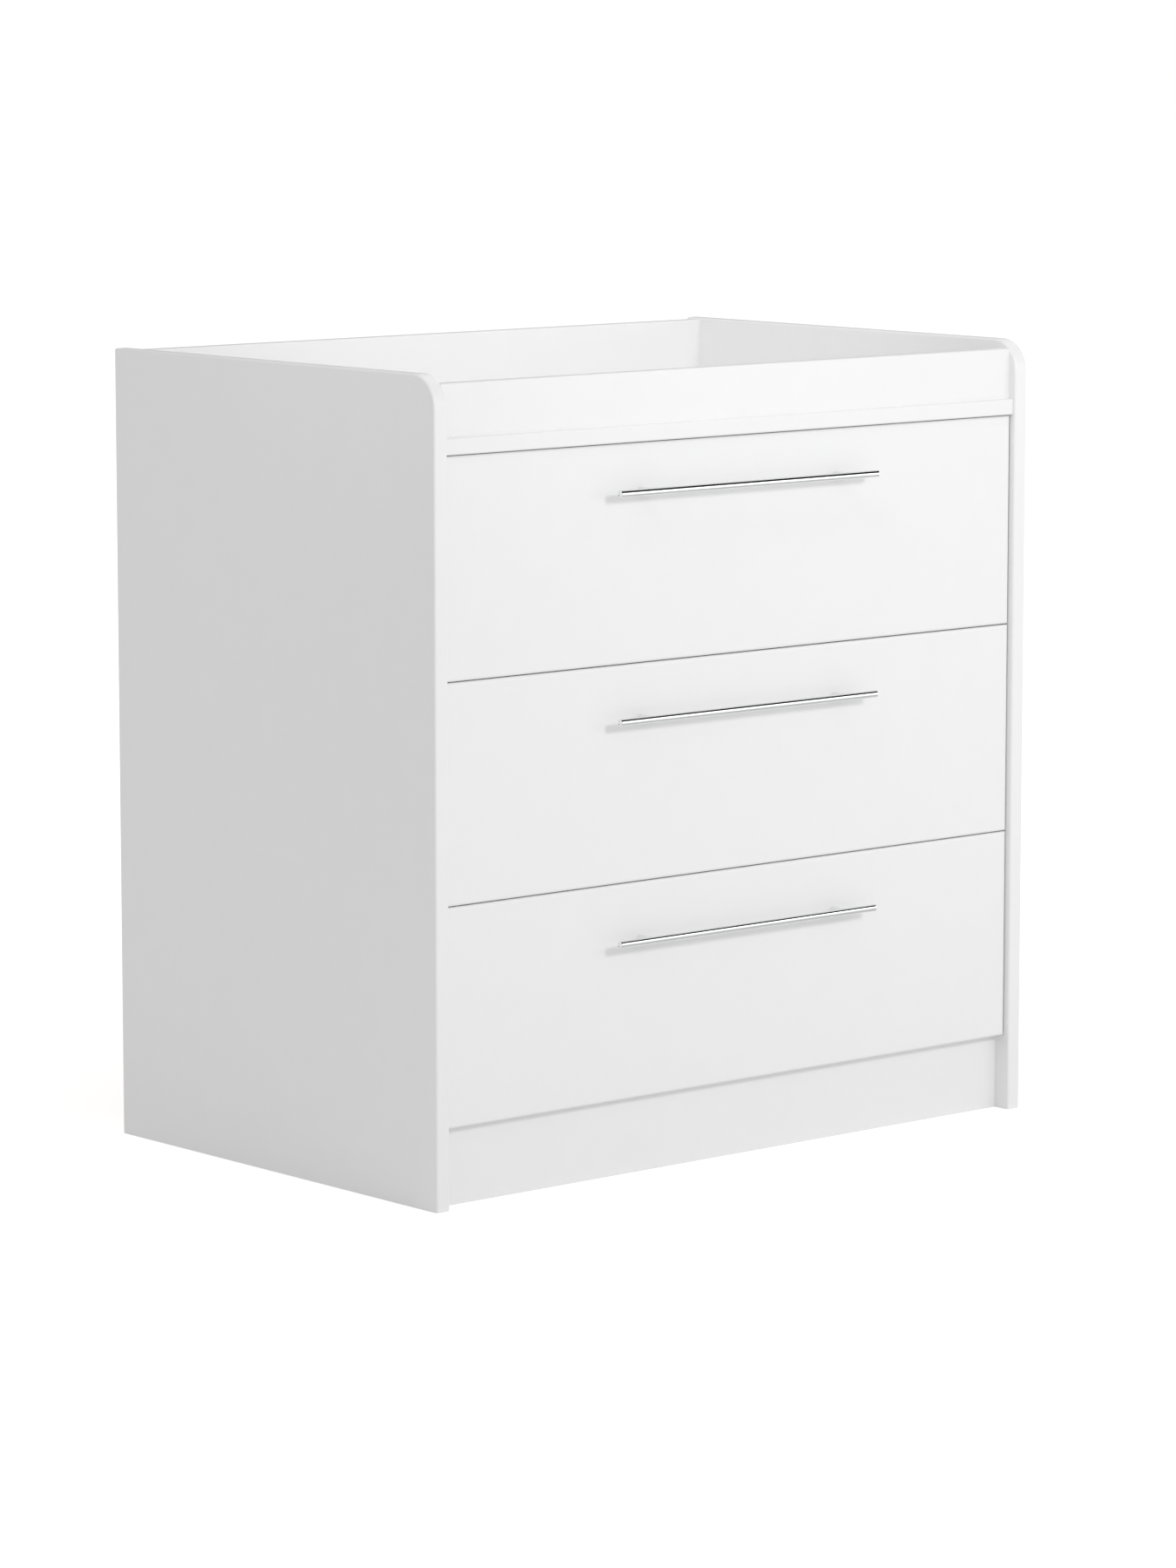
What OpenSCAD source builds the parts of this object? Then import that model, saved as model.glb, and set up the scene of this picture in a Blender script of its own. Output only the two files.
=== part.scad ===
// Changing table: a three-drawer dresser with a recessed changing deck between its side panels.
// Millimetres. The origin is on the floor at the middle of the bounding box, +Z is up, -Y is the front.
// Inside the modules y = 0 is the side panels' front edge. placed() moves that to the model's frame.

/* [Cabinet] */
// Overall width across both side panels
cab_w = 872; // [760:1:1100]
// Depth of the side panels, front edge to rear edge
cab_d = 560; // [480:1:650]
// Height of the side panels
cab_h = 890; // [850:1:1000]
// Thickness of the coated boards
board_t = 18; // [16:0.5:22]
// Radius of the side panels' rounded arrises
panel_arris_r = 2.5; // [1:0.25:5]
// Radius of the side panels' top front corner, seen from the side
panel_corner_r = 35; // [12:1:50]

/* [Changing deck] */
// Height of the side panels above the deck's surface
tray_depth = 67; // [60:1:100]
// Setback of the deck's nose from the side panels' front edge
deck_setback = 4; // [1:0.5:8]
// Height of the front gallery rail
front_rail_h = 57; // [35:1:64]
// Setback of the front gallery rail from the side panels' front edge
front_rail_setback = 10.5; // [6:0.5:20]
// Height of the back gallery rail
back_rail_h = 65; // [40:1:67]
// Inset of the deck and the back rail from the side panels' rear edge
rear_inset = 4; // [0:0.5:8]
// Radius of the arrises on the deck's nose and on top of the rails
edge_arris_r = 2; // [0.5:0.25:4]

/* [Base] */
// Height of the front plinth, level with the top of the base board
plinth_h = 86; // [60:1:110]
// Setback of the front plinth from the side panels' front edge
plinth_setback = 22; // [16:0.5:40]

/* [Back panels] */
// Thickness of the hardboard back panels
back_t = 3; // [2.5:0.1:4]
// Board left between the groove for the back panels and the heads of the rail screws
groove_cover = 3; // [1:0.5:8]
// Depth of the groove for the back panels
back_groove = 6; // [4:0.5:8]
// Play on each side of a hardboard sheet in its groove
groove_play = 0.15; // [0.05:0.05:0.3]
// Width of each lip of the strip that joins the back panels
strip_lip = 7; // [4:0.5:12]
// Wall thickness of that strip
strip_t = 1; // [0.8:0.1:1.5]

/* [Drawer fronts] */
// Thickness of a drawer front
front_t = 18; // [16:0.5:22]
// Setback of the drawer fronts from the side panels' front edge
front_setback = 7; // [4:0.5:12]
// Gap above and below each drawer front
front_gap = 1; // [0.6:0.2:4]
// Gap between a drawer front and each side panel
front_side_gap = 1; // [0.6:0.2:4]
// Radius of the drawer fronts' rounded arrises
front_arris_r = 3; // [1:0.25:5]

/* [Drawer boxes] */
// Thickness of the sides and the back of a drawer box
box_t = 12; // [11:0.5:15]
// Height of the sides of a drawer box
box_h = 160; // [120:1:180]
// Space between a drawer box and the back panels
box_rear_gap = 42; // [25:1:70]
// Height of the box sides' lower edge above the lower edge of the front
box_rise = 30; // [26:1:40]
// Board left behind the back of a drawer box
box_tail = 12; // [8:1:20]
// Depth of the housings that hold the back of a drawer box
box_housing = 5; // [3:0.5:7]
// Thickness of the drawer bottoms
bottom_t = 3; // [2.5:0.1:4]
// Height of the drawer bottom above the lower edge of the sides
bottom_rise = 12; // [10:0.5:16]
// Depth of the grooves that hold a drawer bottom
bottom_groove = 6; // [4:0.5:7]
// Radius of the arrises on top of the drawer sides and back
box_arris_r = 1.5; // [0.5:0.25:3]

/* [Roller runners] */
// Length of drawer side left behind the rear end of a runner
runner_tail = 18; // [5:1:50]
// Space between a side panel and a drawer side
runner_space = 12.5; // [12.5:0.1:14]
// Thickness of the runner steel
steel_t = 1.2; // [1:0.1:1.4]
// Diameter of the rollers
roller_d = 18; // [15:0.5:19]
// Width of the rollers
roller_w = 6; // [4.5:0.25:6.25]
// Play of the rollers above and below
roller_play = 0.3; // [0.2:0.05:0.5]
// Diameter of the rollers' axles
axle_d = 5; // [3:0.25:6]
// Radial play of a roller on its axle
axle_play = 0.05; // [0.02:0.01:0.1]
// Length of a runner that stays in the cabinet when its drawer is pulled out to the stop
runner_hold = 110; // [100:5:180]
// Gap left between a roller and a stop
stop_gap = 0.5; // [0.3:0.1:1]

/* [Handles] */
// Distance between the two posts of a handle
handle_centres = 288; // [160:1:352]
// Length of the handle bar
bar_l = 380; // [370:1:460]
// Diameter of the handle bar
bar_d = 8; // [7:0.5:14]
// Depth of the recess in each end of the handle bar
bar_end_sink = 0.4; // [0.2:0.1:1]
// Diameter of the handle posts
post_d = 8; // [7:0.5:12]
// Distance of the bar's axis from the drawer front
handle_standoff = 20; // [18:1:40]
// Distance of the bar's axis from the upper edge of the top drawer front
top_handle_drop = 51.5; // [25:0.5:120]
// Distance of the bar's axis from the upper edge of the middle drawer front
middle_handle_drop = 59; // [25:0.5:120]
// Distance of the bar's axis from the upper edge of the bottom drawer front
bottom_handle_drop = 62; // [25:0.5:120]

/* [Fittings] */
// Diameter of the cam locks in the cabinet boards
cam_d = 15; // [12:0.5:15]
// Diameter of the cam locks in the drawer sides
box_cam_d = 12; // [10:0.5:12]
// Distance of a cam lock's axis from the end of its board
cam_reach = 34; // [24:1:40]
// Distance of the cam locks and bolts from the edges of a board
cam_inset = 60; // [40:1:90]
// Diameter of the wooden dowels
dowel_d = 8; // [6:0.5:9]
// Length of the wooden dowels
dowel_l = 30; // [25:1:35]
// Diameter of the runner screws
screw_d = 3.5; // [3:0.1:4]
// Length of the runner screws
screw_l = 10; // [8:0.5:10.5]
// Diameter of the screws that hold the gallery rails
rail_screw_d = 4; // [3.5:0.1:5]
// Length of the screws that hold the gallery rails
rail_screw_l = 40; // [35:1:45]
// Diameter of the handle screws
handle_screw_d = 4; // [3:0.5:5]

/* [Hidden] */
$fn = 48;

// Drawer rows, from the floor up
BOTTOM = 0;
MIDDLE = 1;
TOP = 2;
ROWS = [BOTTOM, MIDDLE, TOP];

// Colours
WHITE = [0.93, 0.93, 0.925];
BOX_WHITE = [0.90, 0.90, 0.89];
CHROME = [0.78, 0.79, 0.80];
STEEL_WHITE = [0.86, 0.86, 0.85];
ZINC = [0.62, 0.63, 0.64];
NYLON = [0.92, 0.91, 0.87];
BEECH = [0.80, 0.65, 0.46];

// A cut runs this far past the face that it opens
over = 1;
// Play of cams, bolts, dowels and screws in their holes
fit_play = 0.05;

// Cabinet levels and faces
inner_w = cab_w - 2 * board_t;
bar_proud = handle_standoff + bar_d / 2 - front_setback;
y_front = (max(bar_proud, 0) - cab_d) / 2;
deck_top = cab_h - tray_depth;
deck_bottom = deck_top - board_t;
deck_rear = cab_d - rear_inset;
back_rail_front = deck_rear - board_t;
rail_screw_y = [front_rail_setback + board_t / 2, back_rail_front + board_t / 2];
screw_head_ratio = 1.9;
screw_head_d = screw_d * screw_head_ratio;
rail_screw_head_d = rail_screw_d * screw_head_ratio;
back_rear = rail_screw_y[1] - rail_screw_head_d / 2 - fit_play - groove_cover - groove_play;
back_front = back_rear - back_t;
base_bottom = plinth_h - board_t;
base_front = plinth_setback + board_t;
rear_plinth_front = back_front - board_t;
back_panel_w = inner_w + 2 * (back_groove - groove_play);
back_panel_top = deck_bottom + back_groove - groove_play;
back_seam = (back_panel_top + base_bottom) / 2;

// Drawer fronts and boxes
front_w = inner_w - 2 * front_side_gap;
front_h = (deck_bottom - plinth_h - 4 * front_gap) / len(ROWS);
front_rear = front_setback + front_t;
box_outer = inner_w / 2 - runner_space;
box_inner = box_outer - box_t;
box_rear = back_front - box_rear_gap;
box_d = box_rear - front_rear;
box_back_rear = box_rear - box_tail;
box_back_front = box_back_rear - box_t;
handle_drops = [bottom_handle_drop, middle_handle_drop, top_handle_drop];

function front_z(row) = plinth_h + front_gap + row * (front_h + front_gap);
function box_z(row) = front_z(row) + box_rise;
function bar_z(row) = front_z(row) + front_h - handle_drops[row];

// Runners, in a frame of their own: x runs from the side panel to the drawer, y back from the runner's
// front end, z up from its underside
runner_start = 2;
runner_y = front_rear + runner_start;
runner_l = box_d - runner_start - runner_tail;
tuck = 2.5;
channel_h = roller_d + 2 * roller_play + 2 * steel_t;
leg_x = runner_space - steel_t;
leg_clear = 0.7;
channel_w = leg_x - leg_clear;
lip_x = channel_w - steel_t;
lip_h = 1.5;
flange_lift = 1.5;
flange_z = channel_h + flange_lift;
flange_clear = 1;
end_margin = 1;
cabinet_roller_y = roller_d / 2 + 3 * end_margin;
cabinet_roller_z = flange_z - roller_play - roller_d / 2;
drawer_roller_y = runner_l - runner_start - roller_d / 2 - end_margin;
drawer_roller_z = steel_t + roller_play + roller_d / 2;
lift_out = 30;
roof_start = cabinet_roller_y + roller_d / 2 + lift_out;
stop_h = 4;
stop_drop = channel_h - steel_t - stop_h - drawer_roller_z;
stop_reach = sqrt(pow(roller_d / 2, 2) - pow(stop_drop, 2));
travel = runner_l - runner_hold;
open_stop_y = drawer_roller_y - travel - stop_reach - stop_gap - steel_t;
closed_stop_h = 5;
closed_stop_drop = drawer_roller_z - steel_t - closed_stop_h;
closed_stop_reach = sqrt(pow(roller_d / 2, 2) - pow(closed_stop_drop, 2));
closed_stop_y = drawer_roller_y + closed_stop_reach + stop_gap;

// Axle: a boss, the roller between two gaps, and a head. The drawer's boss ends above the channel's lip
cabinet_boss = 1.6;
drawer_boss = leg_x - lip_x;
boss_rim = 1.5;
boss_d = axle_d + 2 * boss_rim;
side_play = 0.2;
head_h = 0.7;
head_rim = 1.25;
head_d = axle_d + 2 * head_rim;

// Roller section
rim_t = 2.2;
rim_round = 0.8;
hub_t = 1.6;
web_sink = 1.4;

// Runner screws stand this far from the ends of a runner
runner_screw_inset = 37;
runner_screw_y = [runner_screw_inset, runner_l / 2, runner_l - runner_screw_inset];
drawer_screw_z = (tuck + flange_z) / 2;

// Slots for adjusting, one step inwards of the end screws and on both sides of the middle screw
slot_step = 32;
slot_w = 4.2;
slot_l = 9;
slot_y = [
    for (i = [0, 1]) each [runner_screw_y[i] + slot_step, runner_screw_y[i + 1] - slot_step]
];

function runner_z(row) = box_z(row) - steel_t - tuck;

// Cam locks, cam bolts and dowels
cam_skin = 4.5;
cam_h = board_t - cam_skin;
box_cam_skin = 2;
box_cam_h = box_t - box_cam_skin;
bolt_d = 5;
bolt_head_d = 6;
bolt_head_h = 3;
bolt_neck_d = 3.6;
bolt_neck_l = 3;
bolt_in_face = 11;
bolt_bore_play = 0.7;
bolt_bore_d = bolt_head_d + 2 * bolt_bore_play;
box_bolt_head_d = 5;
box_bolt_bore_play = 0.5;
box_bolt_bore_d = box_bolt_head_d + 2 * box_bolt_bore_play;
cam_mouth_play = 0.3;
box_cam_mouth_play = 0.2;
box_cam_reach = 24;
cam_past_axis = 2;
dowel_in_face = 10;
dowel_step = 32;
dowel_chamfer = 1;
dowel_end_gap = 1;
recess_depth = 2;

// Cross recesses: their width as a share of the head's, their depth as a share of a countersunk head's
// height, and a blade's thickness as a share of the width
screw_cross_w = 0.55;
screw_cross_sink = 0.6;
cam_cross_w = 0.6;
cross_blade = 0.25;

deck_z = deck_bottom + board_t / 2;
base_z = base_bottom + board_t / 2;
deck_cams = [for (y = [deck_setback + cam_inset, deck_rear - cam_inset]) [y, deck_z]];
base_cams = [for (y = [base_front + cam_inset, back_front - cam_inset]) [y, base_z]];
cam_points = concat(deck_cams, base_cams);
deck_dowels = [
    for (y = [deck_setback + cam_inset + dowel_step, deck_rear - cam_inset - dowel_step]) [y, deck_z]
];
base_dowels = [
    for (y = [base_front + cam_inset + dowel_step, back_front - cam_inset - dowel_step]) [y, base_z]
];
front_rail_dowels = [[front_rail_setback + board_t / 2, deck_top + front_rail_h / 2]];
back_rail_dowels = [[back_rail_front + board_t / 2, deck_top + back_rail_h / 2]];
front_plinth_dowels = [[plinth_setback + board_t / 2, base_bottom / 2]];
rear_plinth_dowels = [[rear_plinth_front + board_t / 2, base_bottom / 2]];
side_dowels = concat(
    deck_dowels, base_dowels, front_rail_dowels, back_rail_dowels, front_plinth_dowels, rear_plinth_dowels
);

// Fixings along the width of the cabinet
rail_end_inset = 90;
width_fixings = [-inner_w / 2 + rail_end_inset, 0, inner_w / 2 - rail_end_inset];
strip_end_gap = 0.5;
nail_inset = 40;
nail_x = [for (i = [0:3]) (inner_w - 2 * nail_inset) * (i / 3 - 1 / 2)];
nail_d = 1.6;
nail_l = 18;
nail_head_d = 3.6;
nail_head_h = 0.6;

// Cam locks stand this far from the lower and upper edge of a drawer side
box_cam_inset = 42;
box_cam_rises = [box_cam_inset, box_h - box_cam_inset];

// Handle fixings
saddle_play = 0.05;
spigot_d = 4;
spigot_l = 2.4;
bar_chamfer = 0.6;
bar_end_rim = 0.6;
post_bore_l = 9;
handle_head_d = 2.1 * handle_screw_d;
handle_head_h = 2.4;
handle_clear = 1;
post_tip_gap = 1;

// ---- Shapes that repeat ----

module placed() {
    translate([0, y_front, 0]) children();
}

module both_sides() {
    children();
    mirror([1, 0, 0]) children();
}

// Left child as it is, right child mirrored
module on_side(side) {
    if (side == "left") children();
    if (side == "right") mirror([1, 0, 0]) children();
}

// Extrudes a section drawn in (y, z) along x, centred
module along_x(length) {
    rotate([90, 0, 90]) translate([0, 0, -length / 2]) linear_extrude(length) children();
}

// Extrudes a section drawn in (x, z) along y, from y = 0 backwards
module along_y(length) {
    translate([0, length, 0]) rotate([90, 0, 0]) linear_extrude(length) children();
}

module rod_x(d, length) {
    rotate([0, 90, 0]) cylinder(d = d, h = length);
}

module rod_y(d, length) {
    rotate([-90, 0, 0]) cylinder(d = d, h = length);
}

// Rectangle with chosen corners rounded: bottom left, bottom right, top left, top right
module soft_rect(w, h, r, bl = false, br = false, tl = false, tr = false) {
    translate([r, 0]) square([w - 2 * r, h]);
    translate([0, r]) square([w, h - 2 * r]);
    soft_corner(r, r, r, bl);
    soft_corner(w - r, r, r, br);
    soft_corner(r, h - r, r, tl);
    soft_corner(w - r, h - r, r, tr);
}

module soft_corner(x, y, r, rounded) {
    translate([x, y]) {
        if (rounded) circle(r);
        if (!rounded) square(2 * r, center = true);
    }
}

// Countersunk wood screw: its head is flush with z = 0 and it points down
module countersunk_screw(d, length, head_d) {
    head_h = (head_d - d) / 2;
    tip = d;
    difference() {
        union() {
            translate([0, 0, -head_h]) cylinder(d1 = d, d2 = head_d, h = head_h);
            translate([0, 0, tip - length]) cylinder(d = d, h = length - tip - head_h);
            translate([0, 0, -length]) cylinder(d1 = d / 4, d2 = d, h = tip);
        }
        cross_recess(head_d * screw_cross_w, head_h * screw_cross_sink);
    }
}

module cross_recess(width, depth) {
    blade = width * cross_blade;
    translate([-width / 2, -blade / 2, -depth]) cube([width, blade, depth + over]);
    translate([-blade / 2, -width / 2, -depth]) cube([blade, width, depth + over]);
}

// The hole that such a screw sits in
module countersunk_hole(d, length, head_d) {
    head_h = (head_d - d) / 2;
    cylinder(d = head_d + 2 * fit_play, h = over);
    translate([0, 0, -head_h]) cylinder(d1 = d + 2 * fit_play, d2 = head_d + 2 * fit_play, h = head_h);
    translate([0, 0, -length - dowel_end_gap])
        cylinder(d = d + 2 * fit_play, h = length + dowel_end_gap);
}

// Cam lock: it drops in along +z and its drive face is at z = 0. The bolt comes in along -x
module cam_lock(d, h, bolt_z, bore_d) {
    difference() {
        cylinder(d = d - 2 * fit_play, h = h - fit_play);
        translate([-d, 0, bolt_z]) rod_x(bore_d, d + cam_past_axis + fit_play);
        mirror([0, 0, 1]) cross_recess(d * cam_cross_w, recess_depth);
    }
}

// Cam bolt along +x: its collar is at x = 0, its thread is at negative x and its head is at reach
module cam_bolt(reach, head_d) {
    head_start = reach + cam_past_axis - bolt_head_h;
    translate([-bolt_in_face, 0, 0]) rod_x(bolt_d - 2 * fit_play, bolt_in_face + head_start - bolt_neck_l);
    translate([head_start - bolt_neck_l, 0, 0]) rod_x(bolt_neck_d, bolt_neck_l);
    translate([head_start, 0, 0]) rod_x(head_d, bolt_head_h);
}

// Chamfered dowel along +x from its middle joint face: dowel_in_face lies at negative x
module dowel() {
    translate([-dowel_in_face, 0, 0]) rotate([0, 90, 0]) {
        cylinder(d1 = dowel_d - 2 * dowel_chamfer, d2 = dowel_d, h = dowel_chamfer);
        translate([0, 0, dowel_chamfer]) cylinder(d = dowel_d, h = dowel_l - 2 * dowel_chamfer);
        translate([0, 0, dowel_l - dowel_chamfer])
            cylinder(d1 = dowel_d, d2 = dowel_d - 2 * dowel_chamfer, h = dowel_chamfer);
    }
}

module dowel_hole(depth) {
    translate([-over, 0, 0]) rod_x(dowel_d + 2 * fit_play, depth + dowel_end_gap + over);
}

// ---- Side panels ----

// Outline of a side panel in (y, z), drawn in from its front and top edges
module panel_outline(inset) {
    r = panel_corner_r;
    translate([r, 0]) square([cab_d - r, cab_h - inset]);
    translate([inset, 0]) square([r - inset, cab_h - r]);
    translate([r, cab_h - r]) circle(r - inset);
}

// The rounded outer strip of the panel's edge, in (x, y), with its outermost line on y = 0
module edge_section() {
    soft_rect(board_t, 3 * panel_arris_r, panel_arris_r, bl = true, br = true);
}

module panel_blank() {
    rotate([90, 0, 90]) linear_extrude(board_t) panel_outline(panel_arris_r);
    linear_extrude(cab_h - panel_corner_r) edge_section();
    translate([0, panel_corner_r, cab_h]) rotate([-90, 0, 0])
        linear_extrude(cab_d - panel_corner_r) edge_section();
    translate([0, panel_corner_r, cab_h - panel_corner_r]) rotate([90, 0, 90]) rotate([0, 0, 90])
        rotate_extrude(angle = 90) translate([panel_corner_r, 0]) rotate([0, 0, 90]) edge_section();
}

// Left panel: outer face at x = -cab_w / 2
module side_panel() {
    color(WHITE) difference() {
        translate([-cab_w / 2, 0, 0]) panel_blank();
        for (p = cam_points) translate([-inner_w / 2 - bolt_in_face - dowel_end_gap, p[0], p[1]])
            rod_x(bolt_d, bolt_in_face + dowel_end_gap + over);
        for (p = side_dowels) translate([-inner_w / 2, p[0], p[1]])
            mirror([1, 0, 0]) dowel_hole(dowel_in_face);
        for (row = ROWS) at_runner(row) panel_screws() countersunk_hole(screw_d, screw_l, screw_head_d);
        translate([-inner_w / 2 - back_groove, back_front - groove_play, -over])
            cube([back_groove + over, back_t + 2 * groove_play, over + deck_bottom + back_groove]);
    }
}

// ---- Boards between the side panels ----

// Holes in both ends of a board for the dowels and the cam bolts at points (y, z)
module end_dowel_holes(points) {
    both_sides() for (p = points) translate([-inner_w / 2, p[0], p[1]])
        dowel_hole(dowel_l - dowel_in_face);
}

module end_cam_holes(points, underside) {
    both_sides() for (p = points) {
        translate([-inner_w / 2 - over, p[0], p[1]]) rod_x(bolt_bore_d, cam_reach + over);
        translate([-inner_w / 2 + cam_reach, p[0], underside - over]) cylinder(d = cam_d, h = cam_h + over);
    }
}

module changing_deck() {
    color(WHITE) placed() difference() {
        along_x(inner_w) translate([deck_setback, deck_bottom])
            soft_rect(deck_rear - deck_setback, board_t, edge_arris_r, bl = true, tl = true);
        end_dowel_holes(deck_dowels);
        end_cam_holes(deck_cams, deck_bottom);
        rail_screw_places() countersunk_hole(rail_screw_d, rail_screw_l, rail_screw_head_d);
        translate([-inner_w / 2 - over, back_front - groove_play, deck_bottom - over])
            cube([inner_w + 2 * over, back_t + 2 * groove_play, over + back_groove]);
    }
}

module gallery_rail(y, h, dowels) {
    color(WHITE) placed() difference() {
        along_x(inner_w) translate([y, deck_top])
            soft_rect(board_t, h, edge_arris_r, tl = true, tr = true);
        end_dowel_holes(dowels);
        rail_screw_places() countersunk_hole(rail_screw_d, rail_screw_l, rail_screw_head_d);
    }
}

// Rail screws come up through the deck
module rail_screw_places() {
    for (x = width_fixings, y = rail_screw_y) translate([x, y, deck_bottom]) rotate([180, 0, 0]) children();
}

module base_board() {
    color(WHITE) placed() difference() {
        translate([-inner_w / 2, base_front, base_bottom])
            cube([inner_w, back_front - base_front, board_t]);
        end_dowel_holes(base_dowels);
        end_cam_holes(base_cams, base_bottom);
        front_plinth_pins() dowel_hole(dowel_l - dowel_in_face);
        rear_plinth_pins() dowel_hole(dowel_in_face);
        nail_places() nail_hole();
    }
}

// Dowels from the back of the front plinth into the base board
module front_plinth_pins() {
    for (x = width_fixings) translate([x, base_front, base_z]) rotate([0, 0, 90]) children();
}

// Dowels from the rear plinth up into the base board
module rear_plinth_pins() {
    for (x = width_fixings) translate([x, rear_plinth_front + board_t / 2, base_bottom])
        rotate([0, -90, 0]) children();
}

module front_plinth() {
    color(WHITE) placed() difference() {
        translate([-inner_w / 2, plinth_setback, 0]) cube([inner_w, board_t, plinth_h]);
        end_dowel_holes(front_plinth_dowels);
        front_plinth_pins() mirror([1, 0, 0]) dowel_hole(dowel_in_face);
    }
}

module rear_plinth() {
    color(WHITE) placed() difference() {
        translate([-inner_w / 2, rear_plinth_front, 0]) cube([inner_w, board_t, base_bottom]);
        end_dowel_holes(rear_plinth_dowels);
        rear_plinth_pins() mirror([1, 0, 0]) dowel_hole(dowel_l - dowel_in_face);
    }
}

// ---- Back ----

module back_panel(z0, z1) {
    color(BOX_WHITE) placed() difference() {
        translate([-back_panel_w / 2, back_front, z0]) cube([back_panel_w, back_t, z1 - z0]);
        nail_places() nail_hole();
    }
}

module back_joint_strip() {
    channel = back_t + 2 * groove_play;
    outer = channel + 2 * strip_t;
    color(WHITE) placed() along_x(inner_w - 2 * strip_end_gap)
            translate([back_front + back_t / 2, back_seam]) {
        for (y = [-outer / 2, outer / 2 - strip_t])
            translate([y, -strip_lip - strip_t / 2]) square([strip_t, 2 * strip_lip + strip_t]);
        square([outer, strip_t], center = true);
    }
}

module nail_places() {
    for (x = nail_x) translate([x, back_rear, base_z]) rotate([90, 0, 0]) children();
}

module nail_hole() {
    translate([0, 0, -over]) cylinder(d = nail_d + 2 * fit_play, h = over + nail_l + dowel_end_gap);
}

module back_nails() {
    color(ZINC) placed() nail_places() {
        translate([0, 0, -nail_head_h]) cylinder(d = nail_head_d, h = nail_head_h);
        cylinder(d = nail_d, h = nail_l - nail_d);
        translate([0, 0, nail_l - nail_d]) cylinder(d1 = nail_d, d2 = nail_d / 4, h = nail_d);
    }
}

// ---- Cabinet fittings ----

module cam_locks() {
    color(ZINC) placed() both_sides() for (p = cam_points)
        translate([-inner_w / 2 + cam_reach, p[0], p[1] - board_t / 2])
            cam_lock(cam_d, cam_h, board_t / 2, bolt_head_d + 2 * cam_mouth_play);
}

module cam_bolts() {
    color(ZINC) placed() both_sides() for (p = cam_points) translate([-inner_w / 2, p[0], p[1]])
        cam_bolt(cam_reach, bolt_head_d);
}

module wood_dowels() {
    color(BEECH) placed() {
        both_sides() for (p = side_dowels) translate([-inner_w / 2, p[0], p[1]]) dowel();
        front_plinth_pins() dowel();
        rear_plinth_pins() mirror([1, 0, 0]) dowel();
    }
}

module rail_screws() {
    color(ZINC) placed() rail_screw_places() countersunk_screw(rail_screw_d, rail_screw_l, rail_screw_head_d);
}

// ---- Roller runners ----

// From the left side panel's inner face, at the front end of a row's cabinet runner
module at_runner(row) {
    translate([-inner_w / 2, runner_y, runner_z(row)]) children();
}

// Rounded outer corner of a bend, about the inner corner (x, z) and towards (sx, sz)
module bend(x, z, sx, sz) {
    intersection() {
        translate([x, z]) circle(steel_t);
        translate([sx > 0 ? x : x - steel_t, sz > 0 ? z : z - steel_t]) square(steel_t);
    }
}

// Channel of the cabinet runner, whose lip keeps the drawer's roller on its floor. The roof starts
// behind the place where a drawer lifts out
module channel_section(roofed) {
    web_top = roofed ? channel_h - steel_t : channel_h;
    bend(steel_t, steel_t, -1, -1);
    translate([steel_t, 0]) square([lip_x - steel_t, steel_t]);
    bend(lip_x, steel_t, 1, -1);
    translate([lip_x, steel_t]) square([steel_t, lip_h]);
    translate([0, steel_t]) square([steel_t, web_top - steel_t]);
    if (roofed) {
        bend(steel_t, channel_h - steel_t, -1, 1);
        translate([steel_t, channel_h - steel_t]) square([channel_w - steel_t, steel_t]);
    }
}

// Z section of the drawer runner: a shelf under the drawer side, a leg, and a track for the cabinet roller
module track_section() {
    bend(runner_space, tuck + steel_t, -1, -1);
    translate([runner_space, tuck]) square([box_t, steel_t]);
    translate([leg_x, tuck + steel_t]) square([steel_t, flange_z - tuck - steel_t]);
    bend(leg_x, flange_z, 1, 1);
    translate([steel_t + flange_clear, flange_z]) square([leg_x - steel_t - flange_clear, steel_t]);
}

module axle(boss_l) {
    reach = boss_l + side_play + roller_w + side_play;
    rod_x(boss_d, boss_l);
    rod_x(axle_d, reach + head_h);
    translate([reach, 0, 0]) rod_x(head_d, head_h);
}

module cabinet_runner() {
    difference() {
        union() {
            along_y(roof_start) channel_section(false);
            translate([0, roof_start, 0]) along_y(runner_l - roof_start) channel_section(true);
            translate([0, open_stop_y, channel_h - steel_t - stop_h])
                cube([channel_w, steel_t, stop_h + steel_t / 2]);
            translate([0, closed_stop_y, steel_t / 2])
                cube([channel_w, steel_t, closed_stop_h + steel_t / 2]);
            translate([steel_t / 2, cabinet_roller_y, cabinet_roller_z])
                rod_x(boss_d, steel_t / 2);
            translate([steel_t, cabinet_roller_y, cabinet_roller_z]) axle(cabinet_boss);
        }
        panel_screws() countersunk_hole(screw_d, screw_l, screw_head_d);
        runner_slots(0, drawer_roller_z);
    }
}

// Slots along y through steel that starts at x
module runner_slots(x, z) {
    for (y = slot_y) translate([x - over, y, z]) rotate([0, 90, 0]) linear_extrude(steel_t + 2 * over) {
        square([slot_w, slot_l - slot_w], center = true);
        for (end = [-1, 1]) translate([0, end * (slot_l - slot_w) / 2]) circle(d = slot_w);
    }
}

// Screws through the cabinet runner into the side panel
module panel_screws() {
    for (y = runner_screw_y) translate([steel_t, y, drawer_roller_z]) rotate([0, 90, 0]) children();
}

// Screws through the drawer runner into the drawer side
module track_screws() {
    for (y = runner_screw_y) translate([leg_x, y - runner_start, drawer_screw_z])
        rotate([0, -90, 0]) children();
}

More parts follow.
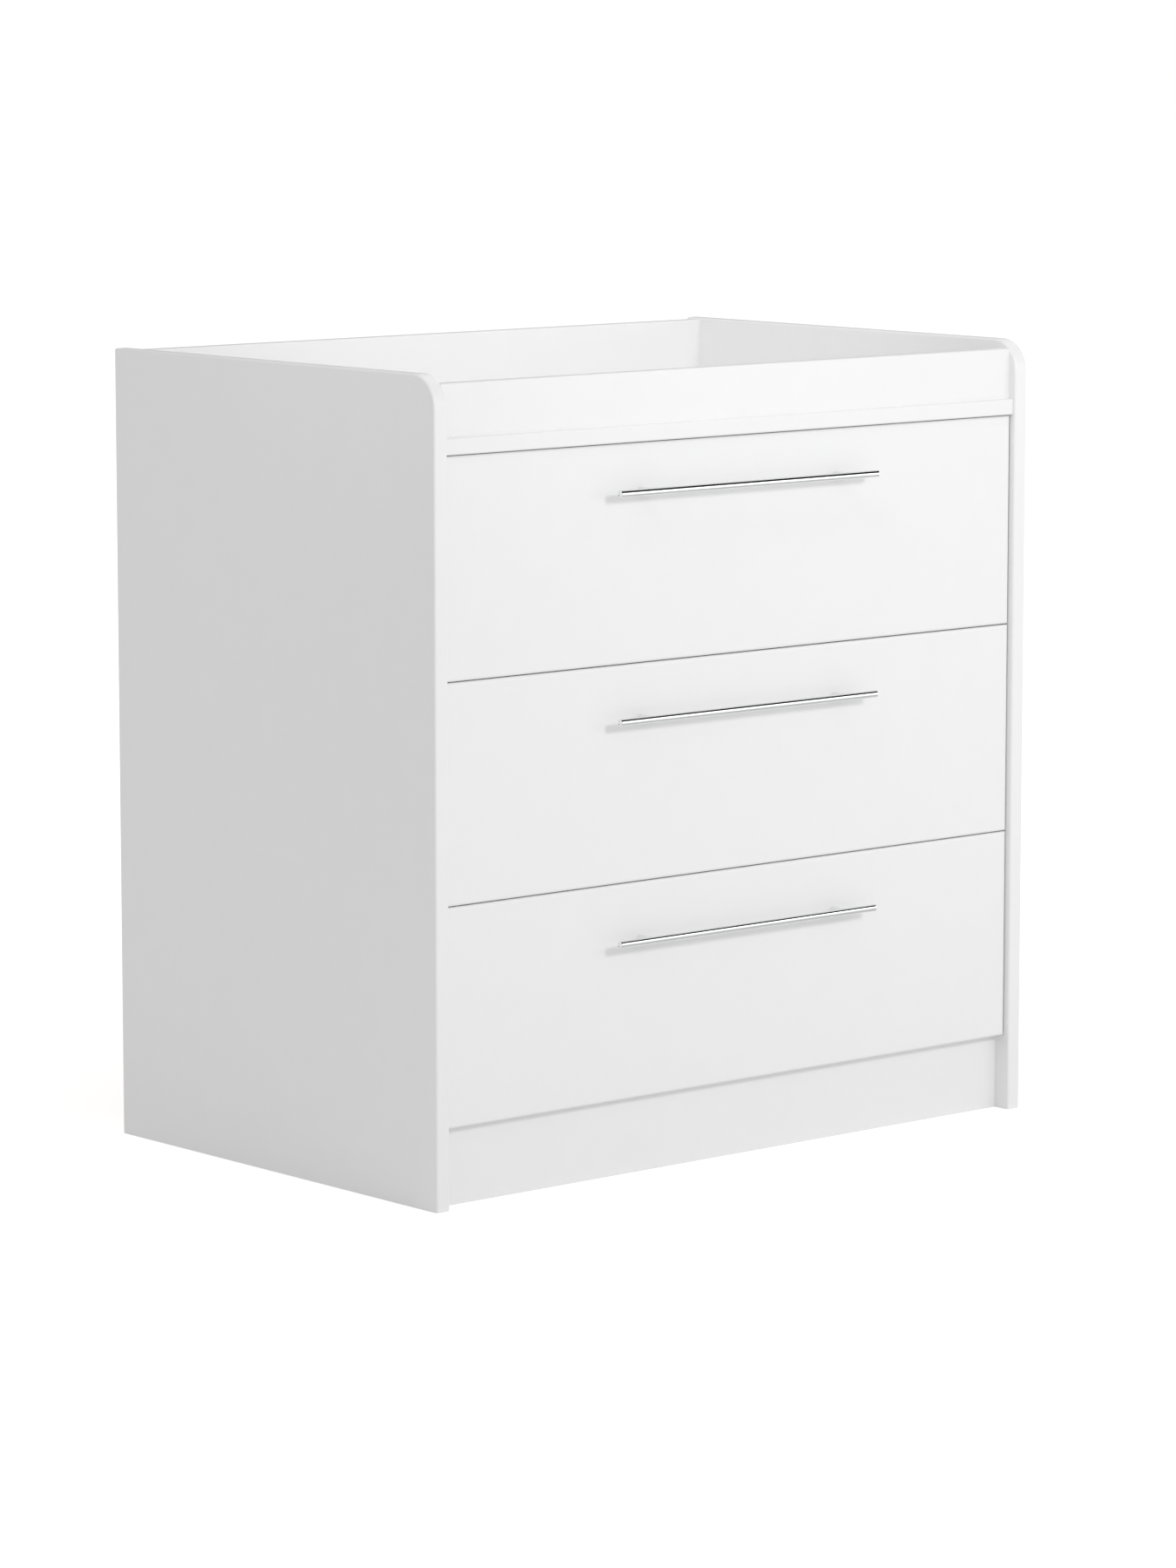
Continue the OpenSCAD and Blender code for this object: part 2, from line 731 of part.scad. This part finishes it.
module drawer_runner() {
    difference() {
        union() {
            translate([0, -runner_start, 0]) along_y(runner_l) track_section();
            translate([leg_x, drawer_roller_y, drawer_roller_z]) mirror([1, 0, 0]) axle(drawer_boss);
        }
        track_screws() countersunk_hole(screw_d, screw_l, screw_head_d);
        translate([0, -runner_start, 0]) runner_slots(leg_x, drawer_screw_z);
    }
}

// Section of a roller in (radius, width)
module roller_section() {
    bore = axle_d / 2 + axle_play;
    rim = roller_d / 2 - rim_t;
    translate([rim, 0]) soft_rect(rim_t, roller_w, rim_round, br = true, tr = true);
    translate([bore, web_sink]) square([rim - bore + rim_round, roller_w - 2 * web_sink]);
    translate([bore, 0]) square([hub_t, roller_w]);
}

module roller() {
    rotate([0, 90, 0]) rotate_extrude() roller_section();
}

module cabinet_runners() {
    color(STEEL_WHITE) placed() both_sides() for (row = ROWS) at_runner(row) cabinet_runner();
}

module cabinet_runner_screws() {
    color(ZINC) placed() both_sides() for (row = ROWS) at_runner(row) panel_screws()
        countersunk_screw(screw_d, screw_l, screw_head_d);
}

module cabinet_rollers(row) {
    color(NYLON) placed() both_sides() at_runner(row)
        translate([steel_t + cabinet_boss + side_play, cabinet_roller_y, cabinet_roller_z]) roller();
}

module drawer_rollers(row) {
    color(NYLON) placed() both_sides() at_runner(row)
        translate([lip_x - side_play - roller_w, drawer_roller_y, drawer_roller_z]) roller();
}

module drawer_runners(row) {
    color(STEEL_WHITE) placed() both_sides() at_runner(row) drawer_runner();
}

module drawer_screws(row) {
    color(ZINC) placed() both_sides() at_runner(row) track_screws()
        countersunk_screw(screw_d, screw_l, screw_head_d);
}

// ---- Drawers ----

module drawer_front(row) {
    z = front_z(row);
    color(WHITE) placed() difference() {
        intersection() {
            along_x(front_w) translate([front_setback, z])
                soft_rect(front_t, front_h, front_arris_r, bl = true, tl = true);
            translate([-front_w / 2, front_setback, z]) linear_extrude(front_h)
                soft_rect(front_w, front_t, front_arris_r, bl = true, br = true);
        }
        bottom_slot(row);
        box_bolt_places(row) mirror([1, 0, 0]) translate([-over, 0, 0])
            rod_x(bolt_d, bolt_in_face + dowel_end_gap + over);
        handle_places(row) translate([0, -over, 0])
            rod_y(handle_screw_d + handle_clear, front_t + 2 * over);
    }
}

// Groove for the drawer bottom, cut into the front and the sides
module bottom_slot(row) {
    half = box_inner + bottom_groove;
    translate([-half, front_rear - bottom_groove, box_z(row) + bottom_rise - groove_play])
        cube([2 * half, box_d + bottom_groove + over, bottom_t + 2 * groove_play]);
}

// Where the drawer side meets the front: x runs back along the side's length
module box_bolt_places(row) {
    both_sides() for (rise = box_cam_rises)
        translate([-box_outer + box_t / 2, front_rear, box_z(row) + rise]) rotate([0, 0, 90]) children();
}

// Cam locks are let into the outer face of the drawer sides. Their z axis points inwards
module box_cam_places(row) {
    both_sides() for (rise = box_cam_rises)
        translate([-box_outer, front_rear + box_cam_reach, box_z(row) + rise])
            rotate([0, 90, 0]) rotate([0, 0, 90]) children();
}

module drawer_side(row, side) {
    color(BOX_WHITE) placed() difference() {
        on_side(side) translate([-box_outer, front_rear, box_z(row)])
            along_y(box_d) soft_rect(box_t, box_h, box_arris_r, tl = true, tr = true);
        bottom_slot(row);
        box_bolt_places(row) translate([-over, 0, 0]) rod_x(box_bolt_bore_d, box_cam_reach + over);
        box_cam_places(row) translate([0, 0, -over]) cylinder(d = box_cam_d, h = box_cam_h + over);
        on_side(side) at_runner(row) track_screws() countersunk_hole(screw_d, screw_l, screw_head_d);
        on_side(side) translate([-box_inner - box_housing, box_back_front - groove_play, box_z(row) - over])
            cube([box_housing + over, box_t + 2 * groove_play, box_h + 2 * over]);
    }
}

module drawer_back(row) {
    w = 2 * (box_inner + box_housing - groove_play);
    z = box_z(row) + bottom_rise + bottom_t;
    color(BOX_WHITE) placed() translate([-w / 2, box_back_front, z])
        rotate([90, 0, 90]) linear_extrude(w)
            soft_rect(box_t, box_z(row) + box_h - z, box_arris_r, tl = true, tr = true);
}

module drawer_base(row) {
    half = box_inner + bottom_groove - groove_play;
    front_edge = front_rear - bottom_groove + groove_play;
    color(BOX_WHITE) placed() translate([-half, front_edge, box_z(row) + bottom_rise])
        cube([2 * half, box_back_rear - front_edge, bottom_t]);
}

module drawer_cams(row) {
    color(ZINC) placed() box_cam_places(row)
        cam_lock(box_cam_d, box_cam_h, box_t / 2, box_bolt_head_d + 2 * box_cam_mouth_play);
}

module drawer_bolts(row) {
    color(ZINC) placed() box_bolt_places(row) cam_bolt(box_cam_reach, box_bolt_head_d);
}

// ---- Handles ----

// On the drawer front's face at each post, with y running back into the front
module handle_places(row) {
    both_sides() translate([-handle_centres / 2, front_setback, bar_z(row)]) children();
}

module handle_bar(row) {
    color(CHROME) placed() difference() {
        translate([-bar_l / 2, front_setback - handle_standoff, bar_z(row)]) {
            translate([bar_chamfer, 0, 0]) rod_x(bar_d, bar_l - 2 * bar_chamfer);
            for (end = [0, 1]) translate([end * bar_l, 0, 0]) mirror([end, 0, 0]) rotate([0, 90, 0])
                cylinder(d1 = bar_d - 2 * bar_chamfer, d2 = bar_d, h = bar_chamfer);
        }
        handle_places(row) translate([0, bar_d / 2 - handle_standoff - spigot_l - fit_play, 0])
            rod_y(spigot_d + 2 * fit_play, spigot_l + over);
        both_sides() translate([-bar_l / 2 - over, front_setback - handle_standoff, bar_z(row)])
            rod_x(bar_d - 2 * bar_chamfer - 2 * bar_end_rim, over + bar_end_sink);
    }
}

module handle_posts(row) {
    color(CHROME) placed() handle_places(row) difference() {
        union() {
            translate([0, -handle_standoff, 0]) difference() {
                rod_y(post_d, handle_standoff);
                translate([-post_d, 0, 0]) rod_x(bar_d + 2 * saddle_play, 2 * post_d);
            }
            translate([0, bar_d / 2 - handle_standoff - spigot_l, 0]) rod_y(spigot_d, spigot_l + over);
        }
        translate([0, -post_bore_l, 0]) rod_y(handle_screw_d + 2 * fit_play, post_bore_l + over);
    }
}

module handle_screws(row) {
    color(ZINC) placed() handle_places(row) {
        translate([0, post_tip_gap - post_bore_l, 0])
            rod_y(handle_screw_d, front_t + post_bore_l - post_tip_gap);
        translate([0, front_t, 0]) difference() {
            rod_y(handle_head_d, handle_head_h);
            translate([0, handle_head_h, 0]) rotate([-90, 0, 0])
                cross_recess(handle_head_d * cam_cross_w, handle_head_h / 2);
        }
    }
}

// ---- Nodes ----

placed() side_panel();  // left_side_panel
placed() mirror([1, 0, 0]) side_panel();  // right_side_panel
changing_deck();
gallery_rail(front_rail_setback, front_rail_h, front_rail_dowels);  // front_gallery_rail
gallery_rail(back_rail_front, back_rail_h, back_rail_dowels);  // back_gallery_rail
base_board();
front_plinth();
rear_plinth();
back_panel(back_seam + strip_t / 2 + groove_play, back_panel_top);  // upper_back_panel
back_panel(base_bottom, back_seam - strip_t / 2 - groove_play);  // lower_back_panel
back_joint_strip();
back_nails();
cam_locks();
cam_bolts();
wood_dowels();
rail_screws();
cabinet_runners();
cabinet_runner_screws();
cabinet_rollers(BOTTOM);  // bottom_cabinet_rollers
cabinet_rollers(MIDDLE);  // middle_cabinet_rollers
cabinet_rollers(TOP);  // top_cabinet_rollers

drawer_front(BOTTOM);  // bottom_drawer_front
drawer_side(BOTTOM, "left");  // bottom_drawer_left_side
drawer_side(BOTTOM, "right");  // bottom_drawer_right_side
drawer_back(BOTTOM);  // bottom_drawer_back
drawer_base(BOTTOM);  // bottom_drawer_base
drawer_cams(BOTTOM);  // bottom_drawer_cams
drawer_bolts(BOTTOM);  // bottom_drawer_bolts
drawer_runners(BOTTOM);  // bottom_drawer_runners
drawer_screws(BOTTOM);  // bottom_drawer_screws
drawer_rollers(BOTTOM);  // bottom_drawer_rollers
handle_bar(BOTTOM);  // bottom_handle_bar
handle_posts(BOTTOM);  // bottom_handle_posts
handle_screws(BOTTOM);  // bottom_handle_screws

drawer_front(MIDDLE);  // middle_drawer_front
drawer_side(MIDDLE, "left");  // middle_drawer_left_side
drawer_side(MIDDLE, "right");  // middle_drawer_right_side
drawer_back(MIDDLE);  // middle_drawer_back
drawer_base(MIDDLE);  // middle_drawer_base
drawer_cams(MIDDLE);  // middle_drawer_cams
drawer_bolts(MIDDLE);  // middle_drawer_bolts
drawer_runners(MIDDLE);  // middle_drawer_runners
drawer_screws(MIDDLE);  // middle_drawer_screws
drawer_rollers(MIDDLE);  // middle_drawer_rollers
handle_bar(MIDDLE);  // middle_handle_bar
handle_posts(MIDDLE);  // middle_handle_posts
handle_screws(MIDDLE);  // middle_handle_screws

drawer_front(TOP);  // top_drawer_front
drawer_side(TOP, "left");  // top_drawer_left_side
drawer_side(TOP, "right");  // top_drawer_right_side
drawer_back(TOP);  // top_drawer_back
drawer_base(TOP);  // top_drawer_base
drawer_cams(TOP);  // top_drawer_cams
drawer_bolts(TOP);  // top_drawer_bolts
drawer_runners(TOP);  // top_drawer_runners
drawer_screws(TOP);  // top_drawer_screws
drawer_rollers(TOP);  // top_drawer_rollers
handle_bar(TOP);  // top_handle_bar
handle_posts(TOP);  // top_handle_posts
handle_screws(TOP);  // top_handle_screws
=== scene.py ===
import math

import bpy
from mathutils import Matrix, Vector


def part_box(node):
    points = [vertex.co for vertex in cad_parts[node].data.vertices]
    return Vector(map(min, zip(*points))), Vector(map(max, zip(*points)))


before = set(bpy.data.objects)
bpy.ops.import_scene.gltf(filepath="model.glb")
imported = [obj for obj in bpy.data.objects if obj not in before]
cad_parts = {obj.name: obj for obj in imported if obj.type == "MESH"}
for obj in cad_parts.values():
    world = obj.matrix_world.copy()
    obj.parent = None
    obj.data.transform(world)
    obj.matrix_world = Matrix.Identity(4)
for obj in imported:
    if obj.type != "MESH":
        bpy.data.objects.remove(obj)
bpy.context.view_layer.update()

ROWS = ("bottom", "middle", "top")
MM = 0.001
WHITE = (1, 1, 1)
# How near to a sheet's raw face a point still counts as on it
FACE_BAND = 0.1 * MM

# Camera: it stands at the object's left front and looks down a little
LENS_MM = 132.89
SENSOR_MM = 36.0
CAMERA_PLACE = Vector((-4.2497, -4.9322, 1.3255))
CAMERA_TURN = math.radians(40.817)
CAMERA_PITCH = math.radians(8.172)

# Studio: the room's even light, the floor's own glow, and lamps as name, place, aim, width, height,
# watts and the spread of the beam in degrees. The deck's lamp has a narrow beam from the left, which
# leaves the rims on its own side darker than the deck's inner faces
ROOM_LEVEL = 0.694
FLOOR_LIFT = 0.5
SOFTBOXES = (
    ("front_softbox", (0.35, -3.6, 2.05), (0, 0, 0.7), 0.8, 0.6, 32.7, 180),
    ("deck_softbox", (-0.75, -0.55, 1.75), (0.3, 0.12, 0.86), 0.4, 0.4, 0.56, 60),
    ("side_softbox", (1.25, -1.6, 0.9), (0.1, 0, 0.6), 0.7, 0.35, 1.7, 180),
)
# Cards that only show in shiny surfaces, as name, centre, tilt in degrees, width, depth and brightness
FLAGS = (
    ("overhead_flag", (1.0, -0.89, 1.45), 0, 6.0, 1.24, 0.02),
    ("floor_flag", (1.0, -0.81, 0.004), 0, 6.0, 1.08, 0.58),
    ("rear_flag", (2.0, 2.5, 1.6), 90, 8.0, 1.3, 0.25),
)


# ---- Shader maths ----

class Wire:
    """An output socket. Python's operators on it add Math nodes to its tree."""

    def __init__(self, socket):
        self.socket = socket
        self.tree = socket.id_data

    def node(self, kind, settings=None, output=0, **sockets):
        """Adds a node to this socket's own tree."""
        return add_node(self.tree, kind, settings, output, **sockets)

    def math(self, operation, *values):
        """Adds a Math node on these values and links."""
        sockets = {f"socket_{i}": value for i, value in enumerate(values)}
        return self.node("ShaderNodeMath", {"operation": operation}, **sockets)

    def __add__(self, other):
        return self.math("ADD", self, other)

    def __sub__(self, other):
        return self.math("SUBTRACT", self, other)

    def __mul__(self, other):
        return self.math("MULTIPLY", self, other)

    def __gt__(self, other):
        return self.math("GREATER_THAN", self, other)

    def __lt__(self, other):
        return self.math("LESS_THAN", self, other)


def add_node(tree, kind, settings=None, output=0, **sockets):
    """Adds a node to a tree, makes its settings, fills its sockets and gives one of its outputs."""
    made = tree.nodes.new(kind)
    for name, value in (settings or {}).items():
        setattr(made, name, value)
    fill(made, sockets)
    return Wire(made.outputs[output])


def fill(made, sockets):
    """Sets or links a node's sockets, each named in lower case, or as socket_N by its number."""
    by_name = {s.name.lower().replace(" ", "_"): s for s in reversed(made.inputs)}
    for name, value in sockets.items():
        number = name.removeprefix("socket_")
        socket = made.inputs[int(number)] if number.isdigit() else by_name[name]
        if isinstance(value, Wire):
            made.id_data.links.new(value.socket, socket)
        elif isinstance(value, tuple) and socket.type == "RGBA":
            socket.default_value = (*value[:3], 1)
        else:
            socket.default_value = value


def mix_colours(share, first, second):
    """Goes from the first colour to the second with share. On a Mix node of colours, socket 0 is the
    factor, sockets 6 and 7 are the colours and output 2 is the mixed colour."""
    settings = {"data_type": "RGBA"}
    return share.node("ShaderNodeMix", settings, 2, socket_0=share, socket_6=first, socket_7=second)


class Finish:
    """A material with a Principled shader, and the patterns that its colour and surface are made of."""

    def __init__(self, name, **constants):
        self.material = bpy.data.materials.new(name)
        self.material.use_nodes = True
        self.tree = self.material.node_tree
        self.shader = self.tree.nodes["Principled BSDF"]
        self.set(**constants)
        self.place = add_node(self.tree, "ShaderNodeTexCoord", output="Object")
        apart = self.place.node("ShaderNodeSeparateXYZ", vector=self.place)
        self.x, self.y, self.z = (Wire(apart.socket.node.outputs[i]) for i in range(3))

    def set(self, **sockets):
        """Sets or links the shader's own sockets."""
        fill(self.shader, sockets)

    def stretched(self, x=1.0, y=1.0, z=1.0):
        """The object's own coordinates, scaled along each axis."""
        return self.place.node("ShaderNodeMapping", vector=self.place, scale=(x, y, z))

    def noise(self, per_metre, detail=2.0, roughness=0.5, place=None):
        return self.place.node("ShaderNodeTexNoise", vector=place or self.place, scale=per_metre,
                               detail=detail, roughness=roughness)

    def cells(self, per_metre):
        return self.place.node("ShaderNodeTexVoronoi", vector=self.place, scale=per_metre)

    def bump(self, height, depth, strength):
        """Raises the surface by height times depth, in metres."""
        self.set(normal=height.node("ShaderNodeBump", height=height, distance=depth, strength=strength))


# ---- Finishes ----

def foil_white(name="foil white", tone=0.875, roughness=0.36, grain=1.0):
    """Satin white foil on MDF: an even tone, faint mottling and a very fine orange peel."""
    finish = Finish(name, specular_ior_level=0.45)
    mottle = finish.noise(26.0, detail=3.0)
    specks = finish.noise(1500.0, detail=1.0)
    shade = mottle * 0.6 + specks * 0.4
    drift = 0.016
    finish.set(base_color=mix_colours(shade, (tone - drift,) * 3, (tone + drift,) * 3))
    cloud = finish.noise(9.0, detail=4.0, roughness=0.6)
    finish.set(roughness=(cloud - 0.5) * 0.1 + roughness)
    peel = finish.noise(650.0, detail=2.0, roughness=0.55)
    waves = finish.noise(70.0, detail=1.0)
    finish.bump(peel * 0.35 + waves, depth=0.12 * MM * grain, strength=0.5)
    return finish.material


def drawer_white():
    """Matt white paper foil of the drawer boxes."""
    return foil_white("drawer foil white", tone=0.83, roughness=0.52, grain=1.6)


def hardboard(name, raw):
    """White lacquered hardboard whose other face is raw and brown, with the print of the press's mesh.
    raw tells, from the finish's coordinates, where the raw face is."""
    finish = Finish(name, specular_ior_level=0.35)
    is_raw = raw(finish)
    fibres = finish.noise(320.0, detail=5.0, roughness=0.7, place=finish.stretched(1.0, 1.0, 0.45))
    flakes = finish.noise(45.0, detail=4.0, roughness=0.65)
    brown = mix_colours(fibres * 0.7 + flakes * 0.3, (0.17, 0.10, 0.052), (0.45, 0.30, 0.175))
    mottle = finish.noise(30.0, detail=3.0)
    white = mix_colours(mottle, (0.80, 0.80, 0.79), (0.84, 0.84, 0.835))
    finish.set(base_color=mix_colours(is_raw, white, brown))
    finish.set(roughness=is_raw * 0.32 + 0.48 + (mottle - 0.5) * 0.08)
    radians_per_metre = 2400.0
    across = (finish.x * radians_per_metre).math("SINE")
    along = ((finish.z + finish.y) * radians_per_metre).math("SINE")
    weave = across * along
    rough_face = (weave * 0.35 + fibres) * is_raw
    finish.bump(rough_face + mottle * 0.2, depth=0.18 * MM, strength=0.6)
    return finish.material


def chrome():
    """Bright chrome plate with hair-thin polishing lines along the bar."""
    finish = Finish("chrome plate", metallic=1.0)
    lines = finish.noise(900.0, detail=3.0, place=finish.stretched(0.02, 1.0, 1.0))
    haze = finish.noise(38.0, detail=3.0)
    finish.set(base_color=mix_colours(haze, (0.84, 0.845, 0.85), (0.90, 0.905, 0.91)))
    finish.set(roughness=lines * 0.03 + haze * 0.03 + 0.02)
    finish.bump(lines, depth=0.01 * MM, strength=0.2)
    return finish.material


def enamelled_steel():
    """White powder coat of the runners: a little cloudy, with a fine orange peel."""
    finish = Finish("runner enamel", specular_ior_level=0.5)
    peel = finish.noise(520.0, detail=3.0, roughness=0.6)
    cloud = finish.noise(30.0, detail=3.0)
    finish.set(base_color=mix_colours(cloud, (0.74, 0.745, 0.735), (0.82, 0.82, 0.81)))
    finish.set(roughness=cloud * 0.12 + 0.3)
    finish.bump(peel, depth=0.1 * MM, strength=0.5)
    return finish.material


def zinc():
    """Zinc plate, patchy with a faint yellow and blue bloom."""
    finish = Finish("zinc plate", metallic=1.0)
    bloom = finish.noise(140.0, detail=4.0)
    spangle = finish.cells(900.0)
    tint = mix_colours(bloom, (0.60, 0.60, 0.56), (0.64, 0.66, 0.70))
    finish.set(base_color=mix_colours(spangle, tint, (0.50, 0.51, 0.52)))
    finish.set(roughness=bloom * 0.22 + spangle * 0.08 + 0.22)
    finish.bump(spangle, depth=0.02 * MM, strength=0.3)
    return finish.material


def nylon():
    """Milky nylon of the rollers, with the faint rings of its running surface."""
    finish = Finish("roller nylon", subsurface_weight=0.1, subsurface_scale=2 * MM)
    cloud = finish.noise(180.0, detail=3.0)
    finish.set(base_color=mix_colours(cloud, (0.80, 0.785, 0.73), (0.87, 0.86, 0.82)))
    rings = finish.noise(1500.0, detail=2.0, place=finish.stretched(1.0, 0.05, 0.05))
    finish.set(roughness=cloud * 0.15 + 0.33)
    finish.bump(rings, depth=0.03 * MM, strength=0.5)
    return finish.material


def strip_plastic():
    """Extruded white plastic: fine lines along the strip."""
    finish = Finish("strip plastic", specular_ior_level=0.5)
    lines = finish.noise(1300.0, detail=2.0, place=finish.stretched(0.004, 1.0, 1.0))
    cloud = finish.noise(20.0, detail=2.0)
    finish.set(base_color=mix_colours(cloud, (0.80, 0.80, 0.79), (0.85, 0.85, 0.845)))
    finish.set(roughness=lines * 0.1 + 0.35)
    finish.bump(lines, depth=0.04 * MM, strength=0.5)
    return finish.material


def beech():
    """Beech of the dowels: fine pores and flecks along the grain."""
    finish = Finish("beech dowel")
    along = finish.stretched(0.05, 1.0, 1.0)
    grain = finish.noise(420.0, detail=4.0, roughness=0.6, place=along)
    finish.set(base_color=mix_colours(grain, (0.56, 0.39, 0.23), (0.76, 0.60, 0.41)))
    finish.set(roughness=grain * 0.2 + 0.5)
    finish.bump(grain, depth=0.08 * MM, strength=0.5)
    return finish.material


def give(material, *names):
    """Puts one material on these CAD nodes."""
    for name in names:
        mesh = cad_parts[name].data
        mesh.materials.clear()
        mesh.materials.append(material)


def finish_nodes():
    back_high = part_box("upper_back_panel")[1]
    board = foil_white()
    give(board, "left_side_panel", "right_side_panel", "changing_deck", "front_gallery_rail")
    give(board, "back_gallery_rail", "base_board", "front_plinth", "rear_plinth")
    behind = back_high.y - FACE_BAND
    rear = hardboard("back hardboard", lambda finish: finish.y > behind)
    give(rear, "upper_back_panel", "lower_back_panel")
    give(strip_plastic(), "back_joint_strip")
    metal = zinc()
    give(metal, "back_nails", "cam_locks", "cam_bolts", "rail_screws", "cabinet_runner_screws")
    give(beech(), "wood_dowels")
    enamel = enamelled_steel()
    give(enamel, "cabinet_runners")
    milky = nylon()
    plate = chrome()
    box_board = drawer_white()
    for row in ROWS:
        give(board, f"{row}_drawer_front")
        give(box_board, f"{row}_drawer_left_side", f"{row}_drawer_right_side", f"{row}_drawer_back")
        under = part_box(f"{row}_drawer_base")[0].z + FACE_BAND
        sheet = hardboard(f"{row} base hardboard", lambda finish: finish.z < under)
        give(sheet, f"{row}_drawer_base")
        give(metal, f"{row}_drawer_cams", f"{row}_drawer_bolts", f"{row}_drawer_screws")
        give(metal, f"{row}_handle_screws")
        give(enamel, f"{row}_drawer_runners")
        give(milky, f"{row}_drawer_rollers", f"{row}_cabinet_rollers")
        give(plate, f"{row}_handle_bar", f"{row}_handle_posts")


# ---- Studio ----

def light_ray_mask(tree):
    """1 for what the camera sees directly, in metal or through glass, and 0 for the rest."""
    rays = add_node(tree, "ShaderNodeLightPath").socket.node
    camera, glossy, through = (Wire(rays.outputs[name]) for name in
                               ("Is Camera Ray", "Is Glossy Ray", "Is Transmission Ray"))
    return camera.math("MAXIMUM", camera.math("MAXIMUM", camera, glossy), through)


def make_world(level):
    world = bpy.data.worlds.new("studio")
    bpy.context.scene.world = world
    world.use_nodes = True
    tree = world.node_tree
    seen = light_ray_mask(tree)
    white = add_node(tree, "ShaderNodeBackground", color=WHITE, strength=1.0)
    room = add_node(tree, "ShaderNodeBackground", color=WHITE, strength=level)
    both = add_node(tree, "ShaderNodeMixShader", fac=seen, socket_1=room, socket_2=white)
    tree.links.new(both.socket, tree.nodes["World Output"].inputs["Surface"])


def make_floor(lift):
    """Pale floor. Seen directly, in metal or through glass, it gets lift on top of its own light, so
    that it turns white and keeps the object's shadow."""
    bpy.ops.mesh.primitive_plane_add(size=60, location=(0, 0, 0))
    floor = bpy.context.object
    floor.name = "studio_floor"
    material = bpy.data.materials.new("floor")
    material.use_nodes = True
    tree = material.node_tree
    shader = tree.nodes["Principled BSDF"]
    shader.inputs["Base Color"].default_value = (0.86, 0.86, 0.86, 1)
    shader.inputs["Roughness"].default_value = 0.9
    shader.inputs["Specular IOR Level"].default_value = 0.1
    plain = Wire(shader.outputs[0])
    glow = add_node(tree, "ShaderNodeEmission", color=WHITE, strength=lift)
    lifted = add_node(tree, "ShaderNodeAddShader", socket_0=plain, socket_1=glow)
    seen = light_ray_mask(tree)
    both = add_node(tree, "ShaderNodeMixShader", fac=seen, socket_1=plain, socket_2=lifted)
    tree.links.new(both.socket, tree.nodes["Material Output"].inputs["Surface"])
    floor.data.materials.append(material)


def make_flag(name, place, tilt, width, depth, level):
    """Card that only glossy rays see. The cards draw the dark and the grey line in the chrome."""
    bpy.ops.mesh.primitive_plane_add(size=1, location=place, rotation=(math.radians(tilt), 0, 0))
    card = bpy.context.object
    card.name = name
    card.scale = (width, depth, 1)
    material = bpy.data.materials.new(name)
    material.use_nodes = True
    tree = material.node_tree
    tone = add_node(tree, "ShaderNodeEmission", color=WHITE, strength=level)
    tree.links.new(tone.socket, tree.nodes["Material Output"].inputs["Surface"])
    card.data.materials.append(material)
    card.visible_camera = False
    card.visible_diffuse = False
    card.visible_shadow = False
    card.visible_transmission = False


def make_softbox(name, place, aim, width, height, watts, spread):
    lamp = bpy.data.lights.new(name, "AREA")
    lamp.shape = "RECTANGLE"
    lamp.size = width
    lamp.size_y = height
    lamp.energy = watts
    lamp.spread = math.radians(spread)
    holder = bpy.data.objects.new(name, lamp)
    holder.location = place
    holder.rotation_euler = (Vector(aim) - Vector(place)).to_track_quat("-Z", "Y").to_euler()
    bpy.context.scene.collection.objects.link(holder)


def make_camera():
    lens = bpy.data.cameras.new("camera")
    lens.sensor_width = SENSOR_MM
    lens.lens = LENS_MM
    holder = bpy.data.objects.new("camera", lens)
    holder.location = CAMERA_PLACE
    holder.rotation_euler = (math.pi / 2 - CAMERA_PITCH, 0, -CAMERA_TURN)
    bpy.context.scene.collection.objects.link(holder)
    bpy.context.scene.camera = holder


finish_nodes()
make_world(ROOM_LEVEL)
make_floor(FLOOR_LIFT)
for flag in FLAGS:
    make_flag(*flag)
for softbox in SOFTBOXES:
    make_softbox(*softbox)
make_camera()
bpy.context.scene.view_settings.view_transform = "Standard"
